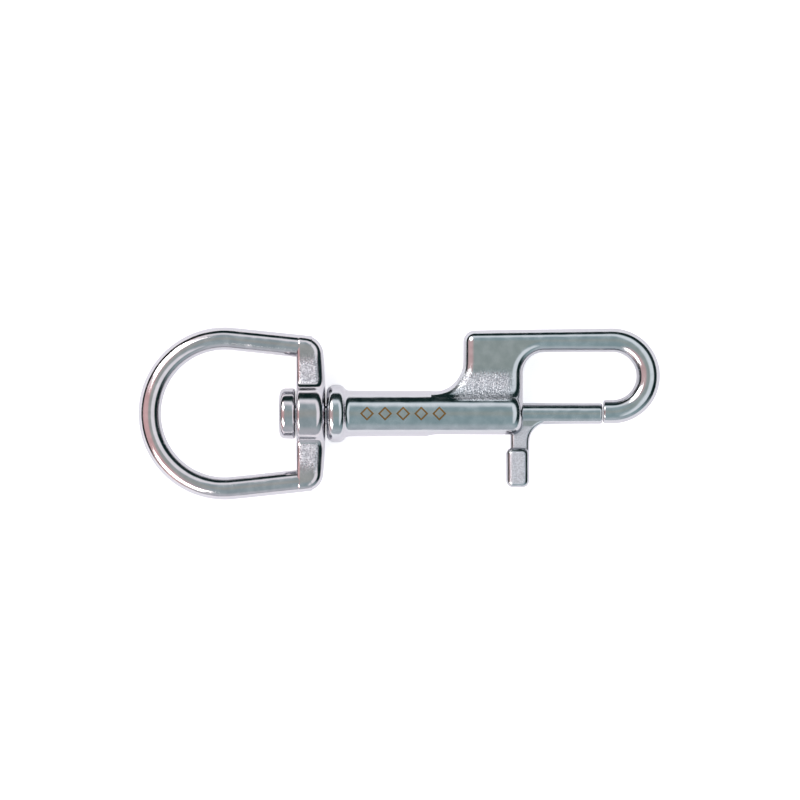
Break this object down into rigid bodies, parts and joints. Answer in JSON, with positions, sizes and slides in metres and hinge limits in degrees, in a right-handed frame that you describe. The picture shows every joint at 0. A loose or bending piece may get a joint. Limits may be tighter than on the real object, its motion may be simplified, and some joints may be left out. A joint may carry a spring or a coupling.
{
  "type": "swivel bolt snap",
  "caption": "Stainless bolt snap: a swivelling D-shaped eye on a barrel with a fixed hook, closed by a spring-loaded sliding bolt with a thumb lever.",
  "frame": {"origin": "centre of the swivel eye's bow, on the swivel axis, halfway through the wire", "axes": "+X along the swivel and bolt axis, from the eye towards the hook; +Y towards the hook's arm, away from the thumb lever; +Z square to the flat of the snap, out of the side with the engraved border"},
  "size_m": [0.116, 0.0384, 0.0134],
  "materials": {
    "cast_stainless": "cast, polished bright",
    "turned_stainless": "turned and polished",
    "bolt_stainless": "lengthwise satin with a matte cast lever",
    "spring_wire": "drawn wire"
  },
  "bodies": {
    "body": {"hook_body": "cast_stainless", "swivel_pin": "turned_stainless", "spring": "spring_wire"},
    "bolt": {"bolt": "bolt_stainless"},
    "eye": {"swivel_eye": "cast_stainless"}
  },
  "joints": [
    {"name": "bolt_slide", "type": "slide", "parent": "body", "child": "bolt", "axis": [-1, 0, 0], "range_m": [0, 0.0175], "stiffness_N_per_m": 500, "springref_m": -0.006, "deforming": ["spring"]},
    {"name": "eye_swivel", "type": "hinge", "parent": "body", "child": "eye", "pos_m": [0.01925, 0, 0], "axis": [1, 0, 0], "continuous": true}
  ]
}
